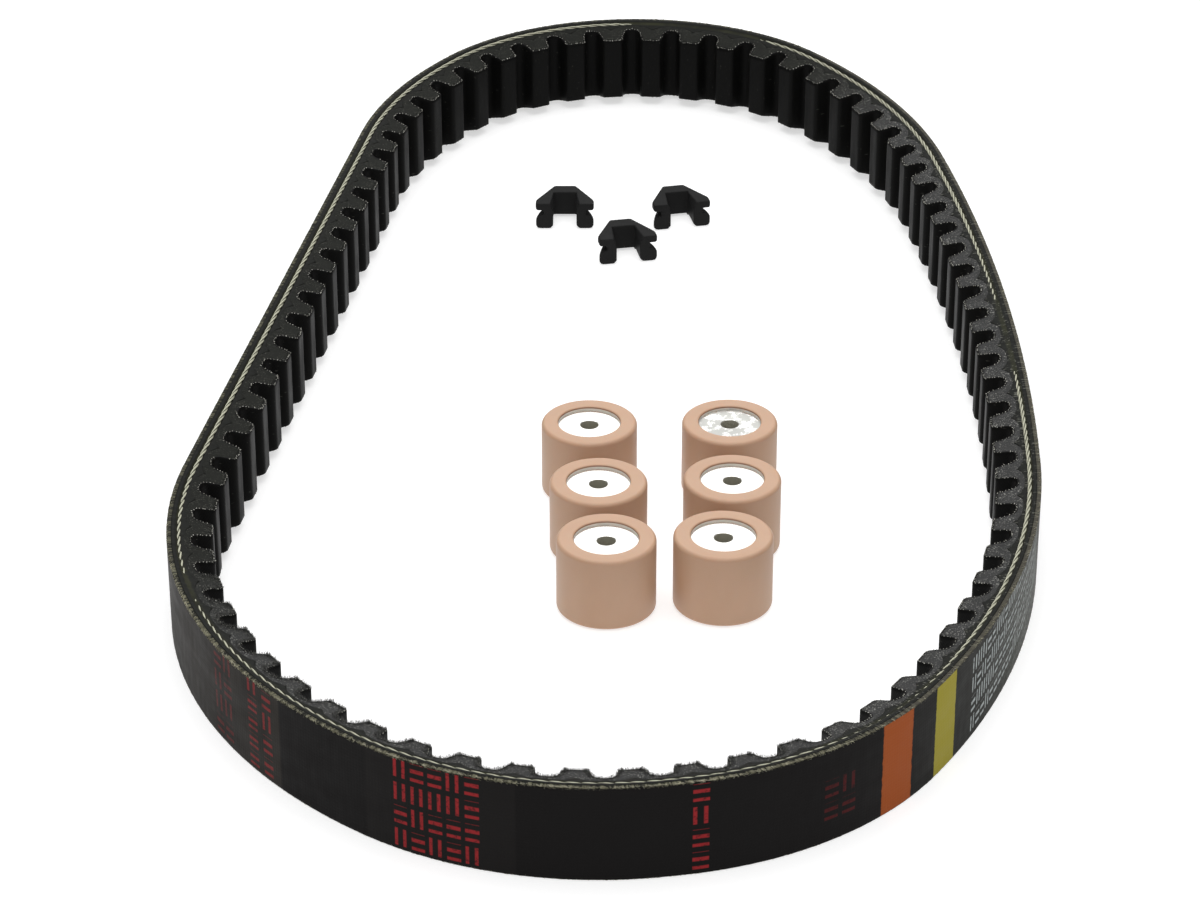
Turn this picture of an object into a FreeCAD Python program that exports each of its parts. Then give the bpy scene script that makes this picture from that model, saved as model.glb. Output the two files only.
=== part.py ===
import FreeCAD, Part
import math
import os

# Service kit for a scooter's variable-speed drive, laid out on a flat surface.
# A cogged V-belt lies on its side in an egg-shaped loop. Six roller weights and three slide pieces
# stand inside it. Millimetres, +Z up, +Y along the loop's long axis towards its narrow end.
# The origin is on the surface, under the middle of the belt's box.

# ---- Driving sizes: roller weight ----
ROLLER_DIAMETER = 23.0
ROLLER_LENGTH = 18.0
ROLLER_EDGE_RADIUS = 1.0
CORE_RADIUS = 8.0
CORE_FACE_RADIUS = 7.4        # the round metal face seen inside the sleeve's lip
CORE_HOLE_RADIUS = 2.1
CORE_CHAMFER = 0.2
CORE_RECESS = 0.9             # the metal face lies this far below the sleeve's end
LIP_THICKNESS = 2.2           # the lip that holds the core at the top
LIP_RADIUS = 7.45
SNAP_LIP_RADIUS = 7.7         # the core snaps past this lip at the bottom
SNAP_LIP_HEIGHT = 1.0
LIP_EDGE_RADIUS = 0.45

# ---- Driving sizes: belt section ----
BELT_WIDTH = 22.8
BELT_THICKNESS = 10.5
FLANK_ANGLE = math.radians(15.0)
BACK_FABRIC = 1.0             # the back fabric has square-cut edges, and the flanks start under it
CUSHION_DEPTH = 3.9           # from the back to the underside of the adhesion rubber, over a gap
CORD_DEPTH = 2.7              # from the back to the middle of the cord, which is the pitch line
CORD_DIAMETER = 1.1
CORD_SPACING = 1.35
CORD_TURNS = 17               # the two outer turns are cut open by the ground flanks
CORD_BED_DEPTH = 3.4          # just under the cords, where the wedges join on
WEDGE_DEPTH = 5.7             # a wedge of adhesion rubber points into each cog's middle
WEDGE_HALF_WIDTH = 2.6
WEDGE_EDGE_RADIUS = 8.0
WEDGE_TIP_RADIUS = 0.2

# ---- Driving sizes: cogs ----
TOOTH_COUNT = 78
ROOT_DEPTH = 5.6              # from the back to the bottom of a gap
TIP_HALF_WIDTH = 2.7
TOOTH_FLANK_SLOPE = 0.255     # the tooth widens this much per side for each unit of depth
TIP_EDGE_RADIUS = 1.1
ROOT_EDGE_RADIUS = 2.0
FACING_THICKNESS = 0.5
FIRST_TOOTH = 0.155           # place of the first tooth along the pitch line, in pitches

# ---- Driving sizes: the loop that the belt's back follows, anticlockwise seen from above ----
START_HEADING = 128.0         # degrees from +X, at the right end of the nose
NOSE = (66.0, 105.0)          # (radius, turn in degrees)
LEFT_SHOULDER = (124.0, 27.5)
LEFT_FRONT = (124.0, 62.0)
FRONT_HALF = (82.0, 47.5)
RIGHT_FRONT = (200.0, 29.5)
RIGHT_SIDE = (790.0, 12.5)
RIGHT_SHOULDER = (156.0, 28.5)
STRAIGHT = None               # its length is solved so that the loop closes
LOOP = [NOSE, LEFT_SHOULDER, STRAIGHT, LEFT_FRONT, FRONT_HALF, STRAIGHT, FRONT_HALF,
        RIGHT_FRONT, RIGHT_SIDE, RIGHT_SHOULDER]
EXTENT_STEP = 0.25            # spacing of the points that find the loop's box

# ---- Driving sizes: slide piece, in its own frame: channel open towards -Y, front face at y = 0 ----
SLIDER_HALF_WIDTH = 8.0
SLIDER_DEPTH = 12.0
SLIDER_HEIGHT = 7.4
SLIDER_SIDE_DEPTH = 2.6       # the sides run straight back this far, then slant in
SLIDER_REAR_HALF_WIDTH = 2.9
SLIDER_CORNER_RADIUS = 0.8
CHANNEL_HALF_WIDTH = 3.2
CHANNEL_DEPTH = 7.6
MOUTH_SPREAD = 0.9            # each arm's inner wall leans out this much at the front of its top
MOUTH_DEPTH = 7.0             # this far back the lean has faded out
MOUTH_LEAN_HEIGHT = 4.9       # below this height the inner walls are upright
SOLE_BEVEL = 0.8              # between a foot's sole and the channel
WEB_CLEARANCE = 0.6           # the web between the arms stands this high off the surface
GROOVE_BOTTOM = 4.0
GROOVE_TOP = 5.4
GROOVE_HALF_WIDTH = 5.7       # half-width left between the two clip grooves
FOOT_RADIUS = 1.2
FOOT_TOP_RADIUS = 2.0
FOOT_SIDE_DEPTH = 0.6         # a foot's side runs straight back this far, then slants in
FOOT_REAR_HALF_WIDTH = 4.4    # the foot's half-width where it meets the web
SOLE_REAR_HALF_WIDTH = 2.4    # half-width under the clip grooves at the back of the web
FLANGE_RADIUS = 0.5
CUTTER_MARGIN = 2.0

# ---- Where the loose pieces stand ----
ROLLER_CENTRES = [(-5.2, -36.7), (28.6, -36.4), (-3.0, -65.6), (28.4, -64.1), (-1.2, -92.0), (25.6, -90.6)]
SLIDER_PLACES = [(-12.3, 107.3, 0.0), (5.1, 86.1, 11.0), (20.0, 107.7, 12.0)]   # x, y, turn in degrees

UP = FreeCAD.Vector(0, 0, 1)


# ---- Flat outlines ----

def plan_point(x, y):
    return FreeCAD.Vector(x, y, 0)


def rounded_corner(before, corner, after, radius):
    """Start, middle and end of the arc that rounds a corner."""
    back = (before - corner).normalize()
    ahead = (after - corner).normalize()
    inward = (back + ahead).normalize()
    half_angle = back.getAngle(ahead) / 2
    start = corner + back * (radius / math.tan(half_angle))
    end = corner + ahead * (radius / math.tan(half_angle))
    centre = corner + inward * (radius / math.sin(half_angle))
    return start, centre - inward * radius, end


def rounded_outline(corners):
    """Closed wire in the XY plane through (x, y, radius) corners; radius 0 is a sharp corner."""
    points = [plan_point(x, y) for x, y, radius in corners]
    rounds = []
    for i, (x, y, radius) in enumerate(corners):
        if radius > 0:
            rounds.append(rounded_corner(points[i - 1], points[i], points[(i + 1) % len(points)], radius))
        else:
            rounds.append((points[i],))
    edges = []
    for i, arc in enumerate(rounds):
        if len(arc) == 3:
            edges.append(Part.Arc(*arc).toShape())
        following = rounds[(i + 1) % len(rounds)][0]
        edges.append(Part.LineSegment(arc[-1], following).toShape())
    return Part.Wire(edges)


def mirrored_outline(right_half):
    """Closed wire from the corners on one side, in order, and their mirror images across x = 0."""
    left_half = [(-x, y, radius) for x, y, radius in reversed(right_half)]
    return rounded_outline(right_half + left_half)


def turned_solid(corners):
    """Solid of revolution about Z from an (r, z, radius) profile."""
    profile = Part.Face(rounded_outline(corners))
    profile.rotate(FreeCAD.Vector(0, 0, 0), FreeCAD.Vector(1, 0, 0), 90)
    return profile.revolve(FreeCAD.Vector(0, 0, 0), UP, 360)


# ---- The loop ----

def direction(heading):
    return FreeCAD.Vector(math.cos(heading), math.sin(heading), 0)


def inward_normal(heading):
    """The loop runs anticlockwise, so its inside is on the left."""
    return FreeCAD.Vector(-math.sin(heading), math.cos(heading), 0)


class Stretch:
    """One straight run or arc of the belt's back line."""

    def __init__(self, start, heading, radius, size):
        self.start = start
        self.heading = heading
        self.radius = radius
        self.size = size                  # an arc's turn in radians, or a run's length

    def length(self, depth=0.0):
        if self.radius is None:
            return self.size
        return (self.radius - depth) * self.size

    def centre(self):
        return self.start + inward_normal(self.heading) * self.radius

    def heading_at(self, distance, depth):
        if self.radius is None:
            return self.heading
        return self.heading + distance / (self.radius - depth)

    def point_at(self, distance, depth):
        """Point on the line that lies depth inside the back, distance along that line."""
        if self.radius is None:
            return self.start + direction(self.heading) * distance + inward_normal(self.heading) * depth
        heading = self.heading_at(distance, depth)
        return self.centre() - inward_normal(heading) * (self.radius - depth)

    def edge(self, depth):
        length = self.length(depth)
        start = self.point_at(0, depth)
        end = self.point_at(length, depth)
        if self.radius is None:
            return Part.LineSegment(start, end).toShape()
        return Part.Arc(start, self.point_at(length / 2, depth), end).toShape()

    def swept(self, section):
        """Solid that a section (x inward, y up) leaves as it moves along this stretch."""
        inward = inward_normal(self.heading)
        ahead = direction(self.heading)
        placed = section.copy()
        placed.Placement = FreeCAD.Placement(self.start, FreeCAD.Rotation(inward, UP, ahead, "XYZ"))
        if self.radius is None:
            return placed.extrude(ahead * self.size)
        return placed.revolve(self.centre(), UP, math.degrees(self.size))


def lay_loop(start, run_lengths):
    """The loop's stretches in order, from a start point and the lengths of the straight runs."""
    stretches = []
    heading = math.radians(START_HEADING)
    lengths = iter(run_lengths)
    for bend in LOOP:
        if bend is STRAIGHT:
            stretch = Stretch(start, heading, None, next(lengths))
        else:
            radius, turn = bend
            stretch = Stretch(start, heading, radius, math.radians(turn))
        stretches.append(stretch)
        start = stretch.point_at(stretch.length(), 0)
        heading = stretch.heading_at(stretch.length(), 0)
    return stretches


def closing_gap(run_lengths):
    """Vector from the loop's start to its end."""
    last = lay_loop(plan_point(0, 0), run_lengths)[-1]
    return last.point_at(last.length(), 0)


def solve_runs():
    """Lengths of the two straight runs that close the loop."""
    gap = closing_gap([0, 0])
    first = closing_gap([1, 0]) - gap
    second = closing_gap([0, 1]) - gap
    area = first.x * second.y - first.y * second.x
    first_run = (gap.y * second.x - gap.x * second.y) / area
    second_run = (gap.x * first.y - gap.y * first.x) / area
    return [first_run, second_run]


def centred_loop():
    """The loop with the middle of its box at the origin."""
    runs = solve_runs()
    points = []
    for stretch in lay_loop(plan_point(0, 0), runs):
        steps = math.ceil(stretch.length() / EXTENT_STEP)
        points += [stretch.point_at(stretch.length() * i / steps, 0) for i in range(steps)]
    middle_x = (min(p.x for p in points) + max(p.x for p in points)) / 2
    middle_y = (min(p.y for p in points) + max(p.y for p in points)) / 2
    return lay_loop(plan_point(-middle_x, -middle_y), runs)


def loop_length(loop, depth):
    return sum(stretch.length(depth) for stretch in loop)


def loop_wire(loop, depth):
    return Part.Wire([stretch.edge(depth) for stretch in loop])


def belt_ring(loop, section):
    """Closed ring of one section along the whole loop."""
    pieces = [stretch.swept(section) for stretch in loop]
    return pieces[0].fuse(pieces[1:]).Solids[0]


# ---- Belt layers ----

def flank_height(depth):
    """How far the lower flank stands above the surface at this depth."""
    return (depth - BACK_FABRIC) * math.tan(FLANK_ANGLE)


def layer_section(near, far):
    """Section of the belt between two depths, as a face."""
    corners = [
        (near, flank_height(near), 0),
        (far, flank_height(far), 0),
        (far, BELT_WIDTH - flank_height(far), 0),
        (near, BELT_WIDTH - flank_height(near), 0),
    ]
    return Part.Face(rounded_outline(corners))


def cord_heights():
    middle = (CORD_TURNS - 1) / 2
    return [BELT_WIDTH / 2 + (i - middle) * CORD_SPACING for i in range(CORD_TURNS)]


def cord_sections():
    """Section of each turn of the cord, cut off at the ground flanks."""
    cushion = layer_section(BACK_FABRIC, CORD_BED_DEPTH)
    sections = []
    for height in cord_heights():
        circle = Part.Circle(plan_point(CORD_DEPTH, height), UP, CORD_DIAMETER / 2)
        disc = Part.Face(Part.Wire(circle.toShape()))
        sections.append(disc.common(cushion).Faces[0])
    return sections


def back_fabric(loop):
    corners = [(0, 0, 0), (BACK_FABRIC, 0, 0), (BACK_FABRIC, BELT_WIDTH, 0), (0, BELT_WIDTH, 0)]
    return belt_ring(loop, Part.Face(rounded_outline(corners)))


def cushion_rubber(loop):
    """The layer that holds the cords, and under it the wedges that fill the cogs' middles."""
    section = layer_section(BACK_FABRIC, CORD_BED_DEPTH).cut(Part.Compound(cord_sections()))
    wedges = ground_layer(loop, loop_wire(loop, CORD_BED_DEPTH), wedge_outline(loop))
    return belt_ring(loop, section.Faces[0]).fuse(wedges).Solids[0]


def tension_cord(loop):
    return Part.Compound([belt_ring(loop, section) for section in cord_sections()])


def tooth_places(loop):
    """(stretch, distance) of each tooth's middle, evenly spaced along the pitch line."""
    pitch = loop_length(loop, CORD_DEPTH) / TOOTH_COUNT
    places = []
    passed = 0.0
    tooth = 0
    for stretch in loop:
        reach = passed + stretch.length(CORD_DEPTH)
        while tooth < TOOTH_COUNT and (tooth + FIRST_TOOTH) * pitch < reach:
            places.append((stretch, (tooth + FIRST_TOOTH) * pitch - passed))
            tooth += 1
        passed = reach
    return places


def repeated_outline(loop, profile):
    """Closed outline round the loop from one cog's (along, depth, radius) corners, repeated."""
    corners = []
    for stretch, distance in tooth_places(loop):
        heading = stretch.heading_at(distance, CORD_DEPTH)
        back = stretch.point_at(distance, CORD_DEPTH) - inward_normal(heading) * CORD_DEPTH
        for along, depth, radius in profile:
            point = back + direction(heading) * along + inward_normal(heading) * depth
            corners.append((point.x, point.y, radius))
    return rounded_outline(corners)


def wedge_outline(loop):
    """Outline between the adhesion rubber and the cogs' rubber, seen along the belt's width."""
    return repeated_outline(loop, [
        (-WEDGE_HALF_WIDTH, CUSHION_DEPTH, WEDGE_EDGE_RADIUS),
        (0, WEDGE_DEPTH, WEDGE_TIP_RADIUS),
        (WEDGE_HALF_WIDTH, CUSHION_DEPTH, WEDGE_EDGE_RADIUS),
    ])


def cog_outline(loop, inset):
    """Outline of the cogs and gaps, seen along the belt's width; inset moves it into the rubber."""
    skew = math.hypot(1, TOOTH_FLANK_SLOPE)
    tip_half = TIP_HALF_WIDTH + (TOOTH_FLANK_SLOPE - skew) * inset
    base_half = tip_half + (BELT_THICKNESS - ROOT_DEPTH) * TOOTH_FLANK_SLOPE
    tip_depth = BELT_THICKNESS - inset
    root_depth = ROOT_DEPTH - inset
    return repeated_outline(loop, [
        (-base_half, root_depth, ROOT_EDGE_RADIUS + inset),
        (-tip_half, tip_depth, TIP_EDGE_RADIUS - inset),
        (tip_half, tip_depth, TIP_EDGE_RADIUS - inset),
        (base_half, root_depth, ROOT_EDGE_RADIUS + inset),
    ])


def ground_layer(loop, outer_wire, inner_wire):
    """Upright layer between two outlines, with its edges ground to the belt's flanks."""
    plan = Part.makeFace([outer_wire, inner_wire], "Part::FaceMakerBullseye")
    block = plan.extrude(UP * BELT_WIDTH)
    flanks = belt_ring(loop, layer_section(CORD_DEPTH, BELT_THICKNESS + CUTTER_MARGIN))
    return block.common(flanks).Solids[0]


def cog_body(loop):
    return ground_layer(loop, wedge_outline(loop), cog_outline(loop, FACING_THICKNESS))


def cog_facing(loop):
    return ground_layer(loop, cog_outline(loop, FACING_THICKNESS), cog_outline(loop, 0))


# ---- Roller weights ----

def roller_sleeve():
    outer = ROLLER_DIAMETER / 2
    shoulder = ROLLER_LENGTH - LIP_THICKNESS
    return turned_solid([
        (outer, 0, ROLLER_EDGE_RADIUS),
        (outer, ROLLER_LENGTH, ROLLER_EDGE_RADIUS),
        (LIP_RADIUS, ROLLER_LENGTH, LIP_EDGE_RADIUS),
        (LIP_RADIUS, shoulder, 0),
        (CORE_RADIUS, shoulder, 0),
        (CORE_RADIUS, SNAP_LIP_HEIGHT, 0),
        (SNAP_LIP_RADIUS, SNAP_LIP_HEIGHT, 0),
        (SNAP_LIP_RADIUS, 0, LIP_EDGE_RADIUS),
    ])


def roller_core():
    shoulder = ROLLER_LENGTH - LIP_THICKNESS
    face = ROLLER_LENGTH - CORE_RECESS
    return turned_solid([
        (CORE_HOLE_RADIUS + CORE_CHAMFER, SNAP_LIP_HEIGHT, 0),
        (CORE_RADIUS, SNAP_LIP_HEIGHT, 0),
        (CORE_RADIUS, shoulder, 0),
        (CORE_FACE_RADIUS, shoulder, 0),
        (CORE_FACE_RADIUS, face - CORE_CHAMFER, 0),
        (CORE_FACE_RADIUS - CORE_CHAMFER, face, 0),
        (CORE_HOLE_RADIUS + CORE_CHAMFER, face, 0),
        (CORE_HOLE_RADIUS, face - CORE_CHAMFER, 0),
        (CORE_HOLE_RADIUS, SNAP_LIP_HEIGHT + CORE_CHAMFER, 0),
    ])


# ---- Slide piece ----

def slider_block():
    """The outline seen from above, at full height."""
    outline = mirrored_outline([
        (SLIDER_HALF_WIDTH, 0, SLIDER_CORNER_RADIUS),
        (SLIDER_HALF_WIDTH, SLIDER_SIDE_DEPTH, SLIDER_CORNER_RADIUS),
        (SLIDER_REAR_HALF_WIDTH, SLIDER_DEPTH, SLIDER_CORNER_RADIUS),
    ])
    return Part.Face(outline).extrude(UP * SLIDER_HEIGHT)


def extruded_back(outline, depth):
    """Solid from an outline seen from the front, from the front face back."""
    face = Part.Face(outline)
    face.rotate(FreeCAD.Vector(0, 0, 0), FreeCAD.Vector(1, 0, 0), 90)
    return face.extrude(FreeCAD.Vector(0, depth, 0))


def slider_profile():
    """The outline seen from the front, with a clip groove in each side, along the full depth."""
    outline = mirrored_outline([
        (SLIDER_HALF_WIDTH, 0, FOOT_RADIUS),
        (SLIDER_HALF_WIDTH, GROOVE_BOTTOM, FOOT_TOP_RADIUS),
        (GROOVE_HALF_WIDTH, GROOVE_BOTTOM, 0),
        (GROOVE_HALF_WIDTH, GROOVE_TOP, 0),
        (SLIDER_HALF_WIDTH, GROOVE_TOP, FLANGE_RADIUS),
        (SLIDER_HALF_WIDTH, SLIDER_HEIGHT, FLANGE_RADIUS),
    ])
    return extruded_back(outline, SLIDER_DEPTH)


def slider_channel():
    """The channel between the arms, with a bevel along each foot's sole."""
    outline = mirrored_outline([
        (CHANNEL_HALF_WIDTH + SOLE_BEVEL, -CUTTER_MARGIN, 0),
        (CHANNEL_HALF_WIDTH + SOLE_BEVEL, 0, 0),
        (CHANNEL_HALF_WIDTH, SOLE_BEVEL, 0),
        (CHANNEL_HALF_WIDTH, SLIDER_HEIGHT + CUTTER_MARGIN, 0),
    ])
    cutter = extruded_back(outline, CUTTER_MARGIN + CHANNEL_DEPTH)
    cutter.translate(FreeCAD.Vector(0, -CUTTER_MARGIN, 0))
    return cutter


def channel_mouth(side):
    """The slanting cut that leans one arm's inner wall outwards at the top of its front."""
    lean = MOUTH_SPREAD / (SLIDER_HEIGHT - MOUTH_LEAN_HEIGHT)
    taper = MOUTH_SPREAD / MOUTH_DEPTH
    low = CHANNEL_HALF_WIDTH + taper * CUTTER_MARGIN
    over = SLIDER_HEIGHT + CUTTER_MARGIN
    corners = [(low, MOUTH_LEAN_HEIGHT), (low + lean * (over - MOUTH_LEAN_HEIGHT), over),
               (CHANNEL_HALF_WIDTH / 2, over), (CHANNEL_HALF_WIDTH / 2, MOUTH_LEAN_HEIGHT)]
    points = [FreeCAD.Vector(side * x, -CUTTER_MARGIN, z) for x, z in corners]
    length = CUTTER_MARGIN + MOUTH_DEPTH
    return Part.Face(Part.makePolygon(points + points[:1])).extrude(
        FreeCAD.Vector(-side * taper * length, length, 0))


def foot_relief(side):
    """What is cut away beside and behind one foot, below the clip groove's roof."""
    outside = SLIDER_HALF_WIDTH + CUTTER_MARGIN
    behind = SLIDER_DEPTH + CUTTER_MARGIN
    corners = [(outside, FOOT_SIDE_DEPTH), (SLIDER_HALF_WIDTH, FOOT_SIDE_DEPTH),
               (FOOT_REAR_HALF_WIDTH, CHANNEL_DEPTH), (SOLE_REAR_HALF_WIDTH, behind), (outside, behind)]
    points = [FreeCAD.Vector(side * x, y, -CUTTER_MARGIN) for x, y in corners]
    return Part.Face(Part.makePolygon(points + points[:1])).extrude(UP * (CUTTER_MARGIN + GROOVE_TOP))


def web_gap():
    """The gap under the web."""
    width = 2 * CHANNEL_HALF_WIDTH
    corner = FreeCAD.Vector(-CHANNEL_HALF_WIDTH, CHANNEL_DEPTH - CUTTER_MARGIN, -CUTTER_MARGIN)
    return Part.makeBox(width, SLIDER_DEPTH, CUTTER_MARGIN + WEB_CLEARANCE, corner)


def slider():
    cuts = [slider_channel(), web_gap()]
    for side in (-1, 1):
        cuts += [channel_mouth(side), foot_relief(side)]
    body = slider_block().common(slider_profile())
    return body.cut(cuts).removeSplitter().Solids[0]


# ---- Assembly ----

def placed(shape, x, y, turn=0.0):
    copy = shape.copy()
    copy.Placement = FreeCAD.Placement(plan_point(x, y), FreeCAD.Rotation(UP, turn))
    return copy


def build():
    """Every node's shape by name."""
    loop = centred_loop()
    nodes = {
        "belt_back_fabric": back_fabric(loop),
        "belt_cushion_rubber": cushion_rubber(loop),
        "belt_tension_cord": tension_cord(loop),
        "belt_cog_body": cog_body(loop),
        "belt_cog_facing": cog_facing(loop),
    }
    sleeve = roller_sleeve()
    core = roller_core()
    for number, (x, y) in enumerate(ROLLER_CENTRES, 1):
        nodes[f"roller_{number}_sleeve"] = placed(sleeve, x, y)
        nodes[f"roller_{number}_core"] = placed(core, x, y)
    guide = slider()
    for number, (x, y, turn) in enumerate(SLIDER_PLACES, 1):
        nodes[f"slider_{number}"] = placed(guide, x, y, turn)
    return nodes


os.makedirs("parts", exist_ok=True)
for name, shape in build().items():
    shape.exportStep(f"parts/{name}.step")
    box = shape.BoundBox
    print(name, shape.isValid(), len(shape.Solids), round(shape.Volume, 1),
          [round(v, 2) for v in (box.XMin, box.YMin, box.ZMin, box.XMax, box.YMax, box.ZMax)])
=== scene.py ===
import math

import bpy
import numpy as np
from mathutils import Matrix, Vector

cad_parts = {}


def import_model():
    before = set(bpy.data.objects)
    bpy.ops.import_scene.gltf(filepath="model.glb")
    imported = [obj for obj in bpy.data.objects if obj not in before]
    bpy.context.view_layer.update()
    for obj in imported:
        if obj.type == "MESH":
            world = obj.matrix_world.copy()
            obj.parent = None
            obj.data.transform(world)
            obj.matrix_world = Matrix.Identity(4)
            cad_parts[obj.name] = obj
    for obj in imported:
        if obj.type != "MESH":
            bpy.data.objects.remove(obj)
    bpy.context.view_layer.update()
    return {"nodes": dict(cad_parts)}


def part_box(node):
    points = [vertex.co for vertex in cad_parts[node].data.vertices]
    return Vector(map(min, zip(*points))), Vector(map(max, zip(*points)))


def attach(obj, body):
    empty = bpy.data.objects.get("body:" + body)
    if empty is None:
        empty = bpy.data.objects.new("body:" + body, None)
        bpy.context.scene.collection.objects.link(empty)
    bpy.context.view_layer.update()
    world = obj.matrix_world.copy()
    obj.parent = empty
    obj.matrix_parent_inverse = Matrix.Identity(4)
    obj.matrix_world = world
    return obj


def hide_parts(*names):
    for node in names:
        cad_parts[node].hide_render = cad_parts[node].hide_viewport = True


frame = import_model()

# The belt and the rollers are rebuilt here as fine meshes in the places of their CAD solids, and the
# slide pieces are softened copies of theirs. Lengths are metres in the CAD model's frame. A place on
# the belt is (along, depth, height): along the pitch line, inwards from the back, and up from the
# floor.

MM = 0.001
TURN = 2 * math.pi

# ---- The loop: the belt's back line, anticlockwise from the right end of the nose ----
# A bend is (radius in millimetres, degrees turned).
START_HEADING = math.radians(128.0)
STRAIGHT = None
LOOP = [(66, 105), (124, 27.5), STRAIGHT, (124, 62), (82, 47.5), STRAIGHT, (82, 47.5),
        (200, 29.5), (790, 12.5), (156, 28.5)]

# ---- Belt section ----
BELT_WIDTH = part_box("belt_back_fabric")[1].z
THICKNESS = 10.5 * MM
FLANK_SLOPE = math.tan(math.radians(15.0))
BACK_FABRIC = 1.0 * MM
CUSHION_DEPTH = 3.9 * MM
CORD_DEPTH = 2.7 * MM
CORD_SPACING = 1.35 * MM
CORD_TURNS = 17
TOOTH_COUNT = 78
ROOT_DEPTH = 5.6 * MM
TIP_HALF_WIDTH = 2.7 * MM
TOOTH_FLANK_SLOPE = 0.255
TIP_EDGE_RADIUS = 1.1 * MM
ROOT_EDGE_RADIUS = 2.0 * MM
FACING = 0.5 * MM
FIRST_TOOTH = 0.155
STRAIGHT_RADIUS = 1000.0      # metres, in place of a straight run's radius
WEDGE_RISE = 1.85 * MM        # how far the adhesion rubber runs into each cog

# ---- Mesh density round the loop ----
BACK_ROWS = 1560
ROWS_PER_COG = 24
ROWS_PER_TWIST = 14
PLAIN_TURN_ROWS = 360

# ---- Finish of the belt's surfaces ----
RIM_RADIUS = 0.18 * MM
RIM_RIPPLE = 0.02 * MM
BACK_RIPPLE = 0.012 * MM
FLANK_RIPPLE = 0.02 * MM
CUSHION_SWELL = 0.1 * MM
SWELL_DEPTH = 1.75 * MM
SWELL_HALF = 0.5 * MM
GROOVE_HALF = 0.5 * MM
GROOVE_DEPTH = 0.4 * MM
FRONT_GROOVE_LOSS = 0.4       # share of its width that the groove loses round the front
GRIND = 0.02 * MM
TUCK = 0.3 * MM               # the cogs' rubber starts this far under the adhesion rubber's edge
TUCK_SINK = 0.1 * MM          # and this far below the flank there

# ---- Edge cord ----
CORD_TWISTS = 98
PLIES = 3
CORD_RADIUS = 0.5 * MM        # of the plain turns between the edges
PLY_RADIUS = 0.23 * MM
PLY_LAY = 0.26 * MM           # from the cord's middle to a ply's middle
CORD_GONE = 0.8 * MM          # the flank's groove is closed where the cord sinks this far
# (millimetres along the belt, millimetres from the flank down to the edge cord's middle)
CORD_SINK = [(0, 0.30), (14, 0.38), (24, 0.85), (54, 0.85), (63, 0.30), (90, 0.14), (335, 0.14),
             (352, 0.24), (370, 0.38), (385, 0.44), (398, 0.45), (409, 0.51), (414, 0.58), (418, 0.80),
             (422, 0.62), (430, 0.51), (445, 0.46), (590, 0.49), (605, 0.58), (628, 0.58), (650, 0.42),
             (700, 0.20), (750, 0.20), (766, 0.36), (772, 0.46), (777, 0.54), (781, 0.80), (809, 0.80),
             (817, 0.54), (840, 0.47), (858, 0.36), (880, 0.22), (940, 0.22)]

# ---- Loose fibres ----
NO_STRAND = [0.13, 0.21, 0.97]    # a direction that no strand points in
FRAY_COUNT = 12000
FRAY_KEPT = (0.15, 0.6)       # share of the threads kept all round, and more round the front
FRAY_RADIUS = 0.03 * MM
END_SPACING = 0.75 * MM       # between the facing's thread ends
END_RADIUS = 0.12 * MM
FUZZ_COUNT = 52000
FUZZ_KEPT = (0.12, 0.88)      # share of the fibres kept all round, and more round the front
FUZZ_DEPTH = 8.5 * MM         # fuzz grows deeper than this, nearer the cogs' tips
FUZZ_REACH = 3.2 * MM         # and starts this much earlier round the front
FUZZ_RADIUS = 0.036 * MM
FLOOR_GAP = 0.02 * MM         # no fibre hangs lower than this

# ---- Where the front begins and ends, in metres along the belt: (soft start), (soft end) ----
GROOVE_FRONT = (0.40, 0.44), (0.60, 0.68)
FRAY_FRONT = (0.39, 0.44), (0.585, 0.62)
FUZZ_FRONT = (0.38, 0.44), (0.58, 0.62)

# ---- Seeds ----
BACK_SEED, RIM_SEED, FLANK_SEED, GRIND_SEED = 3, 4, 8, 15
FRAY_SEED, ENDS_SEED, FUZZ_SEED = 11, 12, 13

# ---- Print and paint on the back: millimetres along the belt ----
STRIPES = [(610.0, 619.5, (152, 76, 32)), (628.5, 637.5, (152, 142, 48))]
# left, right, columns, lowest row's height, row pitch, rows, strength, seed
RED_MARKS = [
    (444.0, 453.0, 2, 1.0, 5.6, 4, 0.2, 1.0),
    (459.0, 463.5, 1, 0.6, 4.6, 5, 0.4, 2.0),
    (464.5, 468.7, 1, 0.6, 5.6, 4, 0.4, 3.0),
    (503.0, 523.0, 5, 0.4, 5.7, 4, 0.65, 4.0),
    (565.0, 569.5, 1, 0.6, 5.6, 4, 0.66, 5.0),
    (594.0, 603.0, 2, 5.0, 5.6, 2, 0.14, 6.0),
]
# left, right, columns, lowest row's height, row pitch, rows, seed
WHITE_MARKS = (646.0, 703.0, 20, 1.0, 5.0, 4, 7.0)
WHITE_SLOPE = 0.12            # the white rows climb towards the rear
WEAVE = 1.6 * MM
KNIT = 0.7 * MM

# ---- Bars in one cell of print: shares of the cell ----
CELL_ACROSS = (0.12, 0.88)
CELL_UP = (0.1, 0.86)
UPRIGHT_BARS = 2.0
UPRIGHT_INK = (0.25, 0.62)
LYING_BARS = 2.6
LYING_INK = (0.2, 0.62)

# ---- Wear on the back: metres along the belt ----
PALE_START = (0.36, 0.41)
PALE_END = (0.4705, 0.4715)
# left, right, softness of the edges
WRAP_BANDS = [(0.434, 0.4525, 0.0003), (0.4965, 0.53, 0.0004)]
# soft start, share, tone
GREY_WEAR = [((0.60, 0.70), 0.8, (48, 49, 44)), ((0.642, 0.70), 0.7, (66, 67, 62))]
GREY_END = (0.84, 0.97)
MOTTLED = (0.672, 0.72, 0.018)

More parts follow.
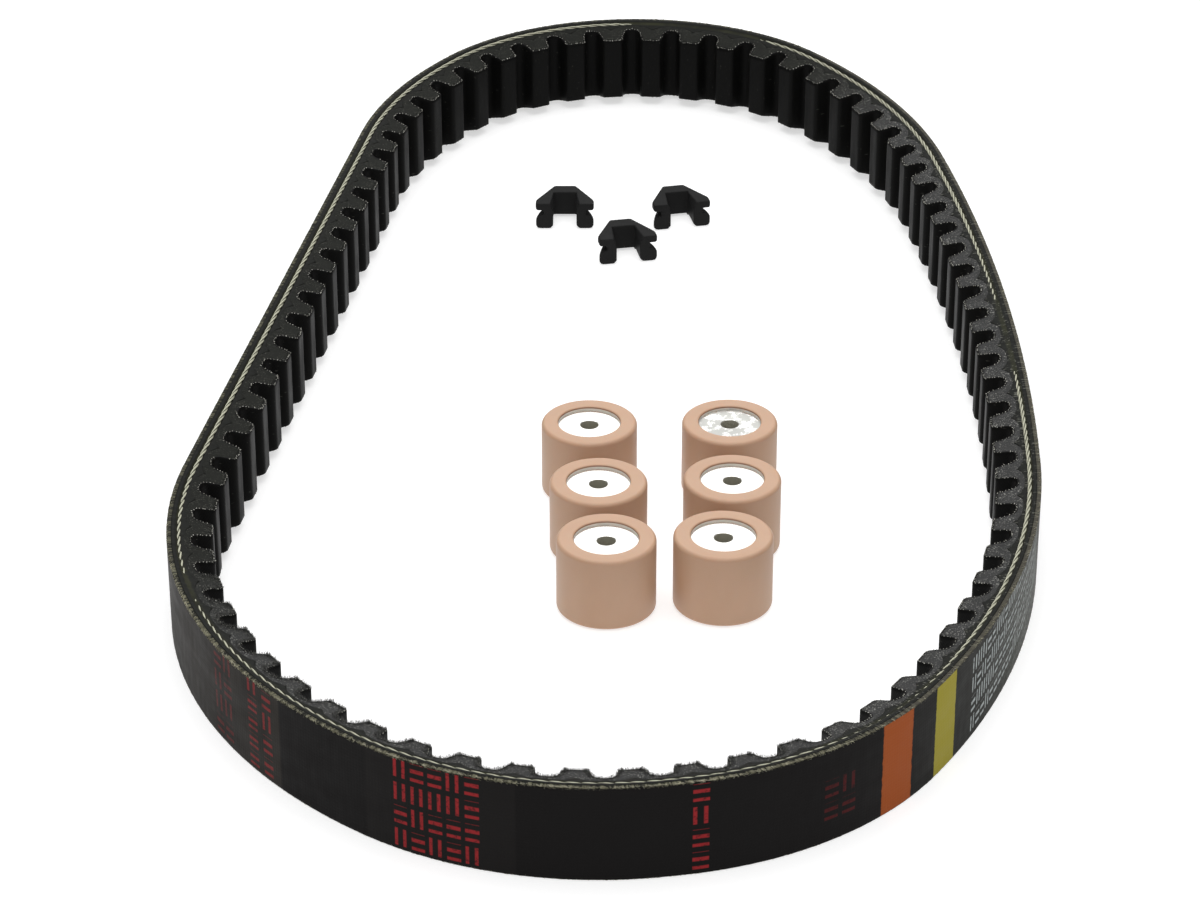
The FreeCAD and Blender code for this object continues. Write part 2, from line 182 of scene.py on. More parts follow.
# ---- Rollers ----
ROLLER_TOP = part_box("roller_1_sleeve")[1].z
SLEEVE_EDGE = 1.0 * MM
BORE_RADIUS = 8.0 * MM
LIP_RADIUS = 7.45 * MM
LIP_DEPTH = 2.2 * MM
LIP_EDGE = 0.5 * MM
SNAP_RADIUS = 7.7 * MM
SNAP_HEIGHT = 1.0 * MM
SNAP_EDGE = 0.45 * MM
HOLE_RADIUS = 2.1 * MM
HOLE_EDGE = 0.25 * MM
HOLE_CHAMFER = 0.35 * MM
SHARP_ANGLE = math.radians(40)
RING_PITCH = 0.22 * MM        # of the turning marks on the end face
SCUFFED_ROLLER = 2

# ---- Slide pieces ----
MOULDING_VOXEL = 0.16 * MM
MOULDING_SMOOTHING = 14

# ---- Floor, lights and camera ----
FLOOR_HALF = 6.0
FLOOR_DROP = 0.1 * MM
SKY_STRENGTH = 0.3
# name, place, diameter, power: each one faces the origin
SOFTBOXES = [
    ("top_softbox", (0, 0.1, 1.6), 2.4, 33),
    ("rear_softbox", (0, 2.0, 1.15), 2.0, 12),
    ("front_softbox", (-0.15, -1.45, 0.9), 1.1, 3.4),
]
CAMERA_PLACE = (-0.00263, -0.86306, 0.46784)
CAMERA_TILT = math.radians(61.01)
CAMERA_LENS = 117.33
CAMERA_SENSOR = 36.0


# ---- Small maths ----

def smooth(x, low, high):
    """0 below low, 1 above high, and a soft step between."""
    t = np.clip((x - low) / (high - low), 0, 1)
    return t * t * (3 - 2 * t)


def front_share(along, start, end):
    """1 round the loop's front, and 0 outside the soft start and the soft end."""
    return smooth(along, *start) * (1 - smooth(along, *end))


class Loop:
    """The belt's closed path. place() turns (along, depth, height) into points in the frame."""

    def __init__(self):
        self.stretches = []
        runs = self.solve_runs()
        points = self.lay(np.zeros(2), runs)
        low, high = points.min(0), points.max(0)
        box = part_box("belt_back_fabric")
        middle = np.array([(box[0].x + box[1].x) / 2, (box[0].y + box[1].y) / 2])
        self.lay(middle - (low + high) / 2, runs)
        self.length = sum(s[4] for s in self.stretches)
        self.pitch = self.length / TOOTH_COUNT

    def lay(self, start, runs):
        """Sets the stretches and returns points of the back line."""
        self.stretches = []
        heading = START_HEADING
        runs = iter(runs)
        points = []
        x, y = start
        for bend in LOOP:
            if bend is STRAIGHT:
                size = next(runs)
                self.stretches.append((x, y, heading, None, size))
                x += size * math.cos(heading)
                y += size * math.sin(heading)
                points.append((x, y))
            else:
                radius, turn = bend[0] * MM, math.radians(bend[1])
                self.stretches.append((x, y, heading, radius, (radius - CORD_DEPTH) * turn))
                cx, cy = x - radius * math.sin(heading), y + radius * math.cos(heading)
                for angle in heading + np.linspace(0, turn, 400):
                    points.append((cx + radius * math.sin(angle), cy - radius * math.cos(angle)))
                x, y = points[-1]
                heading += turn
        self.end = np.array([x, y])
        return np.array(points)

    def solve_runs(self):
        """Lengths of the two straight runs that close the loop."""
        ends = []
        for runs in ([0, 0], [1, 0], [0, 1]):
            self.lay(np.zeros(2), runs)
            ends.append(self.end)
        gap, first, second = ends
        return np.linalg.solve(np.column_stack([first - gap, second - gap]), -gap)

    def radius_at(self, along):
        """Radius of the back line, or None on a straight run."""
        along = along % self.length
        for stretch in self.stretches:
            if along <= stretch[4]:
                return stretch[3]
            along -= stretch[4]
        return None

    def place(self, along, depth, height):
        """Points (n, 3) for arrays of the same length."""
        along = np.asarray(along, float) % self.length
        depth = np.broadcast_to(np.asarray(depth, float), along.shape)
        height = np.broadcast_to(np.asarray(height, float), along.shape)
        result = np.zeros(along.shape + (3,))
        passed = 0.0
        for i, (x, y, heading, radius, size) in enumerate(self.stretches):
            last = i == len(self.stretches) - 1
            here = (along >= passed) & ((along < passed + size) | last)
            t = along[here] - passed
            d = depth[here]
            if radius is None:
                result[here, 0] = x + t * math.cos(heading) - d * math.sin(heading)
                result[here, 1] = y + t * math.sin(heading) + d * math.cos(heading)
            else:
                angle = heading + t / (radius - CORD_DEPTH)
                cx, cy = x - radius * math.sin(heading), y + radius * math.cos(heading)
                result[here, 0] = cx + (radius - d) * np.sin(angle)
                result[here, 1] = cy - (radius - d) * np.cos(angle)
            passed += size
        result[..., 2] = height
        return result


LINE = Loop()


def ripple(along, aside, seed, waves, slant=0.0):
    """Noise of about unit size that closes round the loop. waves is (fewest, most) waves round it."""
    rng = np.random.default_rng(seed)
    total = np.zeros(np.broadcast(along, aside).shape)
    count = 14
    for _ in range(count):
        number = rng.integers(waves[0], waves[1])
        across = rng.uniform(-slant, slant)
        phase = rng.uniform(0, TURN)
        total += np.sin(TURN * (number * along / LINE.length + across * aside / BELT_WIDTH) + phase)
    return total / math.sqrt(count / 2)


def flank(depth):
    """Height of the lower flank at this depth. The upper one is BELT_WIDTH minus this."""
    return np.maximum(np.asarray(depth, float) - BACK_FABRIC, 0) * FLANK_SLOPE


# ---- Mesh builders ----

def new_mesh(name, points, faces):
    """Smooth-shaded mesh piece, linked to the scene."""
    mesh = bpy.data.meshes.new(name)
    mesh.from_pydata(points.tolist(), [], faces)
    mesh.polygons.foreach_set("use_smooth", [True] * len(mesh.polygons))
    mesh.update()
    piece = bpy.data.objects.new(name, mesh)
    bpy.context.scene.collection.objects.link(piece)
    return piece


def ring_faces(rows, columns):
    """Quads of a grid that closes both ways: rows round the loop, columns round the section."""
    i = np.arange(rows)[:, None]
    j = np.arange(columns)[None, :]
    i2, j2 = (i + 1) % rows, (j + 1) % columns
    quads = np.stack([i * columns + j, i2 * columns + j, i2 * columns + j2, i * columns + j2], -1)
    return quads.reshape(-1, 4).tolist()


def add_belt_uv(piece, along, height):
    """UV map of (along, height) in metres. Faces across the loop's start are unwrapped past its end."""
    mesh = piece.data
    layer = mesh.uv_layers.new(name="belt")
    corner_vertex = np.zeros(len(mesh.loops), int)
    mesh.loops.foreach_get("vertex_index", corner_vertex)
    starts, totals = np.zeros((2, len(mesh.polygons)), int)
    mesh.polygons.foreach_get("loop_start", starts)
    mesh.polygons.foreach_get("loop_total", totals)
    u = along[corner_vertex]
    highest = np.repeat(np.maximum.reduceat(u, starts), totals)
    u = np.where(highest - u > LINE.length / 2, u + LINE.length, u)
    layer.data.foreach_set("uv", np.column_stack([u, height[corner_vertex]]).ravel())


def add_value(piece, name, values):
    """Stores one number per point, for a material to read."""
    attribute = piece.data.attributes.new(name, "FLOAT", "POINT")
    attribute.data.foreach_set("value", np.asarray(values, np.float32))


def swept_ring(name, along, depths, heights):
    """Closed ring from (rows, columns) grids of along, depth and height."""
    rows, columns = depths.shape
    points = LINE.place(along.ravel(), depths.ravel(), heights.ravel())
    piece = new_mesh(name, points, ring_faces(rows, columns))
    add_belt_uv(piece, along.ravel() % LINE.length, heights.ravel())
    return piece


def lathe(name, profile, segments):
    """Solid of revolution about Z from a closed list of (radius, height)."""
    profile = np.array(profile)
    angles = np.arange(segments) * TURN / segments
    radius = profile[None, :, 0]
    points = np.stack([radius * np.cos(angles)[:, None], radius * np.sin(angles)[:, None],
                       np.broadcast_to(profile[None, :, 1], (segments, len(profile)))], -1)
    return new_mesh(name, points.reshape(-1, 3), ring_faces(segments, len(profile)))


def strands(name, paths, radius, sides=3):
    """Thin tubes with tapered ends along paths (count, steps, 3)."""
    count, steps, _ = paths.shape
    ahead = np.gradient(paths, axis=1)
    ahead /= np.linalg.norm(ahead, axis=2, keepdims=True)
    side = np.cross(ahead, NO_STRAND)
    side /= np.linalg.norm(side, axis=2, keepdims=True)
    over = np.cross(side, ahead)
    taper = 1 - 0.6 * np.abs(np.linspace(-1, 1, steps)) ** 4
    angles = np.arange(sides) * TURN / sides
    around = side[:, :, None] * np.cos(angles)[:, None] + over[:, :, None] * np.sin(angles)[:, None]
    points = paths[:, :, None] + around * (radius * taper)[None, :, None, None]
    first = np.arange(count)[:, None, None] * steps * sides
    i = np.arange(steps - 1)[None, :, None] * sides
    j = np.arange(sides)[None, None, :]
    j2 = (j + 1) % sides
    quads = np.stack([first + i + j, first + i + j2, first + i + sides + j2, first + i + sides + j], -1)
    starts = (first[:, 0, 0][:, None] + np.arange(sides)[::-1]).tolist()
    ends = (first[:, 0, 0][:, None] + (steps - 1) * sides + np.arange(sides)).tolist()
    return new_mesh(name, points.reshape(-1, 3), quads.reshape(-1, 4).tolist() + starts + ends)


def closed_tube(along, depths, heights, radius, sides):
    """Points and faces of a tube round the whole loop, with its middle at (along, depth, height)."""
    middle = LINE.place(along, depths, heights)
    ahead = np.roll(middle, -1, 0) - np.roll(middle, 1, 0)
    ahead /= np.linalg.norm(ahead, axis=1, keepdims=True)
    side = np.cross([0, 0, 1], ahead)
    side /= np.linalg.norm(side, axis=1, keepdims=True)
    over = np.cross(ahead, side)
    angles = np.arange(sides) * TURN / sides
    points = middle[:, None] + radius * (side[:, None] * np.cos(angles)[:, None]
                                         + over[:, None] * np.sin(angles)[:, None])
    return points.reshape(-1, 3), [face[::-1] for face in ring_faces(len(along), sides)]


# ---- The cogs' outline ----

def unit(vector):
    return vector / np.linalg.norm(vector)


def corner_arc(before, corner, after, radius, count):
    """Points on the arc that rounds a corner."""
    back, ahead = unit(before - corner), unit(after - corner)
    half = math.acos(np.clip(back @ ahead, -1, 1)) / 2
    centre = corner + unit(back + ahead) * radius / math.sin(half)
    first = corner + back * radius / math.tan(half) - centre
    last = corner + ahead * radius / math.tan(half) - centre
    start = math.atan2(first[1], first[0])
    sweep = (math.atan2(last[1], last[0]) - start + math.pi) % TURN - math.pi
    angles = start + sweep * np.linspace(0, 1, count)
    return centre + radius * np.column_stack([np.cos(angles), np.sin(angles)])


def tooth_place(tooth):
    """(along, radius of the back line) at a tooth's middle."""
    along = (tooth + FIRST_TOOTH) * LINE.pitch
    return along, LINE.radius_at(along) or STRAIGHT_RADIUS


def half_tooth(radius, inset):
    """(along, depth) points in the tooth's own frame, from its middle to the middle of the gap."""
    skew = math.hypot(1, TOOTH_FLANK_SLOPE)
    tip_half = TIP_HALF_WIDTH + (TOOTH_FLANK_SLOPE - skew) * inset
    base_half = tip_half + (THICKNESS - ROOT_DEPTH) * TOOTH_FLANK_SLOPE
    middle = np.array([0, THICKNESS - inset])
    tip = np.array([tip_half, THICKNESS - inset])
    root = np.array([base_half, ROOT_DEPTH - inset])
    half_turn = LINE.pitch / (radius - CORD_DEPTH) / 2
    across = np.array([math.cos(half_turn), math.sin(half_turn)])
    gap = root - across * ((root - [0, radius]) @ across)
    tip_arc = corner_arc(middle, tip, root, TIP_EDGE_RADIUS - inset, 6)
    root_arc = corner_arc(tip, root, gap, ROOT_EDGE_RADIUS + inset, 9)
    face = middle + (tip_arc[0] - middle) * np.array([0, 0.33, 0.66])[:, None]
    wall = tip_arc[-1] + (root_arc[0] - tip_arc[-1]) * np.array([0.2, 0.4, 0.6, 0.8])[:, None]
    return np.vstack([face, tip_arc, wall, root_arc, gap])


def cog_outline(inset):
    """(along, depth) of the cogs and gaps round the loop, moved into the rubber by inset."""
    along, depth = [], []
    for tooth in range(TOOTH_COUNT):
        middle, radius = tooth_place(tooth)
        half = half_tooth(radius, inset)
        whole = np.vstack([half[1:-1][::-1] * [-1, 1], half])
        along.append(middle + (radius - CORD_DEPTH) * np.arctan2(whole[:, 0], radius - whole[:, 1]))
        depth.append(radius - np.hypot(radius - whole[:, 1], whole[:, 0]))
    return np.concatenate(along), np.concatenate(depth)


def from_tooth(along):
    """Distance along the pitch line from the nearest tooth's middle."""
    places = along / LINE.pitch - FIRST_TOOTH
    return (places - np.round(places)) * LINE.pitch


def cushion_edge(along):
    """Depth at which the adhesion rubber meets the cogs' rubber: a wedge runs into each cog."""
    reach = 1 - np.abs(from_tooth(along)) / (LINE.pitch / 2)
    return CUSHION_DEPTH + WEDGE_RISE * reach ** 3


def cord_sink(along):
    """How far the edge cord's middle lies below the flank. Past CORD_GONE the rubber hides it."""
    places, sinks = np.array(CORD_SINK).T * MM
    return np.interp(along % LINE.length, places, sinks, period=LINE.length)


# ---- The belt's layers ----

def both_flanks(depths, rises):
    """Heights of a section's columns: over the top, then over the bottom, the other way."""
    return np.concatenate([BELT_WIDTH - flank(depths) + rises, (flank(depths) - rises)[:, ::-1]], 1)


def outer_fabric():
    """The rubbered fabric on the belt's back, with a rounded rim."""
    along = np.arange(BACK_ROWS) * LINE.length / BACK_ROWS
    r = RIM_RADIUS
    middle = BELT_WIDTH / 2
    wall = np.linspace(r, BELT_WIDTH - r, 44)
    bend = np.linspace(0, math.pi / 2, 5)[1:-1]
    over = np.linspace(r, BACK_FABRIC, 6)
    inside = np.linspace(BELT_WIDTH, 0, 3)[1:-1]
    depth = np.concatenate([0 * wall, r - r * np.cos(bend), over, BACK_FABRIC + 0 * inside,
                            over[::-1], (r - r * np.cos(bend))[::-1]])
    height = np.concatenate([wall, BELT_WIDTH - r + r * np.sin(bend), BELT_WIDTH + 0 * over, inside,
                             0 * over, (r - r * np.sin(bend))[::-1]])
    a, d = np.meshgrid(along, depth, indexing="ij")
    h = np.broadcast_to(height, a.shape)
    outside = 1 - smooth(d, 0.2 * MM, 0.9 * MM)
    d = d + outside * BACK_RIPPLE * ripple(a, h, BACK_SEED, (60, 420), 2.5)
    rim = smooth(np.abs(h - middle), middle - r, middle) * np.sign(h - middle)
    h = h - rim * RIM_RIPPLE * (1 + ripple(a, d, RIM_SEED, (200, 900)))
    return swept_ring("belt_outer_fabric", a, d, h)


def adhesion_rubber():
    """The layer that holds the cords. A groove runs along each flank where the edge cord shows."""
    rows = TOOTH_COUNT * ROWS_PER_COG
    along = (np.arange(rows) / ROWS_PER_COG + FIRST_TOOTH) * LINE.pitch
    fixed = np.array([1.0, 1.25, 1.6, 1.9, 2.1, 2.25, 2.4, 2.55,
                      2.7, 2.85, 3.0, 3.15, 3.3, 3.5, 3.8]) * MM
    edge = cushion_edge(along)[:, None]
    tail = fixed[-1] + (edge - fixed[-1]) * np.array([0.33, 0.66, 1.0])
    depths = np.concatenate([np.broadcast_to(fixed, (rows, len(fixed))), tail], 1)
    a = np.broadcast_to(along[:, None], depths.shape)
    open_groove = 1 - smooth(cord_sink(a), 0.2 * MM, CORD_GONE)
    narrow = 1 - FRONT_GROOVE_LOSS * front_share(a, *GROOVE_FRONT)
    groove = np.exp(-((depths - CORD_DEPTH) / (GROOVE_HALF * narrow)) ** 2)
    swell = CUSHION_SWELL * np.exp(-((depths - SWELL_DEPTH) / SWELL_HALF) ** 2)
    wave = FLANK_RIPPLE * ripple(a, depths * 4, FLANK_SEED, (150, 800), 3)
    rises = swell + wave - groove * GROOVE_DEPTH * open_groove
    heights = both_flanks(depths, rises)
    depths = np.concatenate([depths, depths[:, ::-1]], 1)
    return swept_ring("belt_adhesion_rubber", np.concatenate([a, a], 1), depths, heights)


def edge_cords():
    """The cord's turns: three plies twisted together at each flank, and plain turns between them."""
    rows = CORD_TWISTS * ROWS_PER_TWIST
    along = np.arange(rows) * LINE.length / rows
    sides = 8
    round_ply = np.arange(sides) * TURN / sides
    points, faces, outer = [], [], []

    def add(tube, reach=1.0):
        faces.extend((np.array(tube[1]) + sum(map(len, points))).tolist())
        points.append(tube[0])
        outer.append(np.broadcast_to(reach, len(tube[0])))

    for side in (-1, 1):
        flank_line = BELT_WIDTH / 2 + side * (BELT_WIDTH / 2 - flank(CORD_DEPTH) - cord_sink(along))
        for ply in np.arange(PLIES) * TURN / PLIES:
            twist = TURN * CORD_TWISTS * along / LINE.length + ply
            reach = np.hypot(PLY_LAY * np.cos(twist)[:, None] + PLY_RADIUS * np.cos(round_ply),
                             PLY_LAY * np.sin(twist)[:, None] + PLY_RADIUS * np.sin(round_ply))
            add(closed_tube(along, CORD_DEPTH + PLY_LAY * np.cos(twist),
                            flank_line + PLY_LAY * np.sin(twist), PLY_RADIUS, sides),
                reach.ravel() / (PLY_LAY + PLY_RADIUS))
    coarse = np.arange(PLAIN_TURN_ROWS) * LINE.length / PLAIN_TURN_ROWS
    for turn in range(1, CORD_TURNS - 1):
        height = BELT_WIDTH / 2 + (turn - (CORD_TURNS - 1) / 2) * CORD_SPACING
        add(closed_tube(coarse, CORD_DEPTH, height, CORD_RADIUS, 6))
    piece = new_mesh("belt_tension_cords", np.vstack(points), faces)
    add_value(piece, "outer", np.concatenate(outer))
    return piece


def cog_rubber():
    """The fibre-filled rubber of the cogs, seen on the ground flanks."""
    along, tip = cog_outline(FACING)
    edge = cushion_edge(along)
    share = np.array([0, 0.15, 0.35, 0.55, 0.75, 0.9, 1.0])
    depths = edge[:, None] + (tip - edge)[:, None] * share
    tucked = edge[:, None] - TUCK
    depths = np.concatenate([tucked, depths], 1)
    a = np.broadcast_to(along[:, None], depths.shape)
    rises = GRIND * ripple(a, depths * 3, GRIND_SEED, (300, 1600), 3)
    rises[:, 0] = -TUCK_SINK
    heights = both_flanks(depths, rises)
    depths = np.concatenate([depths, depths[:, ::-1]], 1)
    return swept_ring("belt_cog_rubber", np.concatenate([a, a], 1), depths, heights)


def knit_facing():
    """The fabric that wraps the cogs and gaps."""
    along_in, depth_in = cog_outline(FACING)
    along_out, depth_out = cog_outline(0)
    share = np.array([0, 0.3, 0.75, 1.0])
    along = along_in[:, None] + (along_out - along_in)[:, None] * share
    depth = depth_in[:, None] + (depth_out - depth_in)[:, None] * share
    rises = np.broadcast_to([0, 0.02 * MM, 0.02 * MM, -0.06 * MM], depth.shape)
    top = BELT_WIDTH - flank(depth) + rises
    bottom = flank(depth) - rises
    inner = np.linspace(0, 1, 20)[1:-1]
    wall = top[:, -1:] + (bottom[:, -1:] - top[:, -1:]) * inner
    wall_along = np.broadcast_to(along_out[:, None], wall.shape)
    wall_depth = np.broadcast_to(depth_out[:, None], wall.shape)
    a = np.concatenate([along, wall_along, along[:, ::-1]], 1)
    d = np.concatenate([depth, wall_depth, depth[:, ::-1]], 1)
    h = np.concatenate([top, wall, bottom[:, ::-1]], 1)
    piece = swept_ring("belt_knit_facing", a, d, h)
    steps_along = np.diff(along_out, append=along_out[0] + LINE.length)
    steps_deep = np.diff(depth_out, append=depth_out[0])
    run = np.cumsum(np.hypot(steps_along, steps_deep))
    add_value(piece, "run", np.repeat(run, d.shape[1]))
    return piece


def rim_fray():
    """Loose thread ends along the back's cut edges. They lie over the rim and hang down the back."""
    rng = np.random.default_rng(FRAY_SEED)
    along = rng.uniform(0, LINE.length, FRAY_COUNT)
    thick = FRAY_KEPT[0] + FRAY_KEPT[1] * front_share(along, *FRAY_FRONT)
    along = along[rng.uniform(0, 1, len(along)) < thick]
    count = len(along)
    t = np.linspace(0, 1, 6)
    start = rng.uniform(0.2, 0.8, count)[:, None] * MM
    slant = (rng.normal(0.5, 0.5, count) * MM)[:, None]
    drop = rng.uniform(0.1, 1.0, count)[:, None] ** 2 * MM
    curl = rng.normal(0, 0.12, count)[:, None] * MM
    a = along[:, None] + slant * t + curl * np.sin(math.pi * t)
    d = start * (1 - t) ** 1.3 - 0.07 * MM * smooth(t, 0.4, 0.9)
    fall = 0.05 * MM - drop * np.maximum(0, t - 0.35) ** 1.2
    h = np.where(rng.uniform(0, 1, count)[:, None] < 0.75, BELT_WIDTH + fall, -fall)
    return strands("belt_rim_fray", LINE.place(a, d, np.maximum(h, FLOOR_GAP)), FRAY_RADIUS)


def facing_ends():
    """Cut ends of the facing's threads, which stand up along its edge on both flanks."""
    rng = np.random.default_rng(ENDS_SEED)
    inner, outer = cog_outline(FACING), cog_outline(0)
    run = np.concatenate([[0], np.cumsum(np.hypot(np.diff(outer[0]), np.diff(outer[1])))])
    spots = np.arange(0, run[-1], END_SPACING)
    paths = []
    for side in (-1, 1):
        places = spots + rng.normal(0, 0.10, len(spots)) * MM
        places = places[rng.uniform(0, 1, len(places)) < 0.85]
        share = rng.uniform(0.25, 0.85, len(places))
        a, d = [np.interp(places, run, inner[i]) * (1 - share) + np.interp(places, run, outer[i]) * share
                for i in (0, 1)]
        t = np.linspace(0, 1, 4)
        lean = rng.normal(0, 0.12, (2, len(places), 1)) * MM
        rise = rng.uniform(0.16, 0.36, len(places))[:, None] * MM
        a = a[:, None] + lean[0] * t
        d = d[:, None] + lean[1] * t ** 2
        h = flank(d) - rise * t + 0.1 * MM
        if side > 0:
            h = BELT_WIDTH - h
        paths.append(LINE.place(a, d, h))
    return strands("belt_facing_ends", np.concatenate(paths), END_RADIUS, 4)


def cog_fuzz():
    """Short fibres that stand out of the ground rubber near the cogs' tips, longest round the front."""
    rng = np.random.default_rng(FUZZ_SEED)
    inner, outer = cog_outline(FACING), cog_outline(0)
    pick = rng.integers(0, len(outer[0]), FUZZ_COUNT)
    long = front_share(outer[0][pick], *FUZZ_FRONT)
    near_tip = outer[1][pick] > FUZZ_DEPTH - FUZZ_REACH * long
    keep = near_tip & (rng.uniform(0, 1, FUZZ_COUNT) < FUZZ_KEPT[0] + FUZZ_KEPT[1] * long)
    pick, long = pick[keep], long[keep]
    count = len(pick)
    share = rng.uniform(-1.5, 0.9, count)
    a = inner[0][pick] + (outer[0][pick] - inner[0][pick]) * share + rng.normal(0, 0.18, count) * MM
    d = inner[1][pick] + (outer[1][pick] - inner[1][pick]) * share
    rise = rng.uniform(0.1, 0.3, count) * MM * (1 + 2.4 * long)
    t = np.linspace(0, 1, 3)
    lean = rng.normal(0, 0.2, (2, count, 1)) * MM
    a = a[:, None] + lean[0] * t ** 1.5
    d = d[:, None] + lean[1] * t ** 1.5
    h = flank(d) - rise[:, None] * t + 0.05 * MM
    upper = rng.uniform(0, 1, count)[:, None] < 0.7
    h = np.maximum(np.where(upper, BELT_WIDTH - h, h), FLOOR_GAP)
    return strands("belt_cog_fuzz", LINE.place(a, d, h), FUZZ_RADIUS)


# ---- Rollers and slide pieces ----

def rounded_profile(corners):
    """Closed (radius, height) points from (radius, height, corner radius, arc points)."""
    points = []
    places = [np.array(corner[:2]) for corner in corners]
    for i, (_, _, radius, count) in enumerate(corners):
        if radius > 0:
            after = places[(i + 1) % len(corners)]
            points.extend(corner_arc(places[i - 1], places[i], after, radius, count))
        else:
            points.append(places[i])
    return [tuple(point) for point in points]


def turned_piece(name, node, profile, segments):
    """Lathed profile on the axis of a CAD node, with its sharp edges kept."""
    low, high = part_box(node)
    piece = lathe(name, profile, segments)
    piece.data.set_sharp_from_angle(angle=SHARP_ANGLE)
    piece.location = ((low.x + high.x) / 2, (low.y + high.y) / 2, 0)
    return piece


def roller_sleeve(number):
    """Nylon sleeve with an inner lip over the core and a snap lip under it."""
    node = f"roller_{number}_sleeve"
    low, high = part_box(node)
    outer, top = (high.x - low.x) / 2, high.z
    profile = rounded_profile([
        (outer, 0, SLEEVE_EDGE, 10),
        (outer, top, SLEEVE_EDGE, 10),
        (LIP_RADIUS, top, LIP_EDGE, 9),
        (LIP_RADIUS, top - LIP_DEPTH, 0, 0),
        (BORE_RADIUS, top - LIP_DEPTH, 0, 0),
        (BORE_RADIUS, SNAP_HEIGHT, 0, 0),
        (SNAP_RADIUS, SNAP_HEIGHT, 0, 0),
        (SNAP_RADIUS, 0, SNAP_EDGE, 6),
    ])
    return turned_piece(f"roller_{number}_nylon", node, profile, 160)


def roller_core(number):
    """Metal weight with a hole through it, and a step that fits inside the sleeve's lip."""
    node = f"roller_{number}_core"
    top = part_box(node)[1].z
    shoulder = ROLLER_TOP - LIP_DEPTH
    profile = rounded_profile([
        (HOLE_RADIUS + HOLE_CHAMFER, SNAP_HEIGHT, 0, 0),
        (BORE_RADIUS, SNAP_HEIGHT, 0, 0),
        (BORE_RADIUS, shoulder, 0, 0),
        (LIP_RADIUS, shoulder, 0, 0),
        (LIP_RADIUS, top, 0, 0),
        (HOLE_RADIUS, top, HOLE_EDGE, 5),
        (HOLE_RADIUS, SNAP_HEIGHT + HOLE_CHAMFER, 0, 0),
    ])
    return turned_piece(f"roller_{number}_weight", node, profile, 128)


def slide_piece(number):
    """The CAD moulding, with its edges softened."""
    source = frame["nodes"][f"slider_{number}"]
    piece = bpy.data.objects.new(f"slider_{number}_moulding", source.data.copy())
    piece.data.materials.clear()
    piece.matrix_world = source.matrix_world
    bpy.context.scene.collection.objects.link(piece)
    remesh = piece.modifiers.new("remesh", "REMESH")
    remesh.mode = "VOXEL"
    remesh.voxel_size = MOULDING_VOXEL
    remesh.use_smooth_shade = True
    soften = piece.modifiers.new("soften", "SMOOTH")
    soften.factor = 0.5
    soften.iterations = MOULDING_SMOOTHING
    return piece


# ---- Materials ----

def colour(red, green, blue):
    """Linear colour from 0-255 display values."""
    shares = [value / 255 for value in (red, green, blue)]
    linear = [((v + 0.055) / 1.055) ** 2.4 if v > 0.04045 else v / 12.92 for v in shares]
    return (*linear, 1.0)


class Shader:
    """A material's nodes, with short calls for the ones used here."""

    def __init__(self, name):
        self.material = bpy.data.materials.new(name)
        self.material.use_nodes = True
        self.tree = self.material.node_tree
        self.surface = self.tree.nodes["Principled BSDF"]

    def node(self, kind, inputs=(), **settings):
        node = self.tree.nodes.new(kind)
        for key, value in settings.items():
            setattr(node, key, value)
        for socket, value in dict(inputs).items():
            self.set(node.inputs[socket], value)
        return node

    def set(self, socket, value):
        if isinstance(value, bpy.types.NodeSocket):
            self.tree.links.new(value, socket)
        else:
            socket.default_value = value

    def put(self, **values):
        for key, value in values.items():
            self.set(self.surface.inputs[key.replace("_", " ")], value)

    def math(self, operation, a, b=0.0):
        return self.node("ShaderNodeMath", {0: a, 1: b}, operation=operation).outputs[0]

    def times(self, a, b):
        return self.math("MULTIPLY", a, b)

    def plus(self, a, b):
        return self.math("ADD", a, b)

    def minus(self, a, b):
        return self.math("SUBTRACT", a, b)

    def step(self, value, low, high, start=0.0, end=1.0):
        return self.node("ShaderNodeMapRange", {"Value": value, "From Min": low, "From Max": high,
                                                "To Min": start, "To Max": end},
                         interpolation_type="SMOOTHSTEP").outputs[0]

    def mix(self, share, a, b):
        node = self.node("ShaderNodeMix", {"Factor": share}, data_type="RGBA")
        self.set(node.inputs[6], a)
        self.set(node.inputs[7], b)
        return node.outputs[2]

    def noise(self, vector, scale, detail=3.0, rough=0.5):
        return self.node("ShaderNodeTexNoise", {"Vector": vector, "Scale": scale, "Detail": detail,
                                                "Roughness": rough}).outputs[0]

    def stretch(self, vector, scale):
        return self.node("ShaderNodeMapping", {"Vector": vector, "Scale": scale}).outputs[0]

    def position(self):
        return self.node("ShaderNodeTexCoord").outputs["Object"]

    def belt(self):
        """(vector, along, height) from the belt's UV map, in metres."""
        vector = self.node("ShaderNodeUVMap", uv_map="belt").outputs[0]
        split = self.node("ShaderNodeSeparateXYZ", {0: vector})
        return vector, split.outputs[0], split.outputs[1]

    def bump(self, height, distance, strength):
        inputs = {"Height": height, "Distance": distance, "Strength": strength}
        return self.node("ShaderNodeBump", inputs).outputs[0]

    def between(self, value, start, end, soft):
        """1 from start to end, with soft edges."""
        rise = self.step(value, start - soft, start + soft)
        fall = self.step(value, end - soft, end + soft, 1.0, 0.0)
        return self.times(rise, fall)


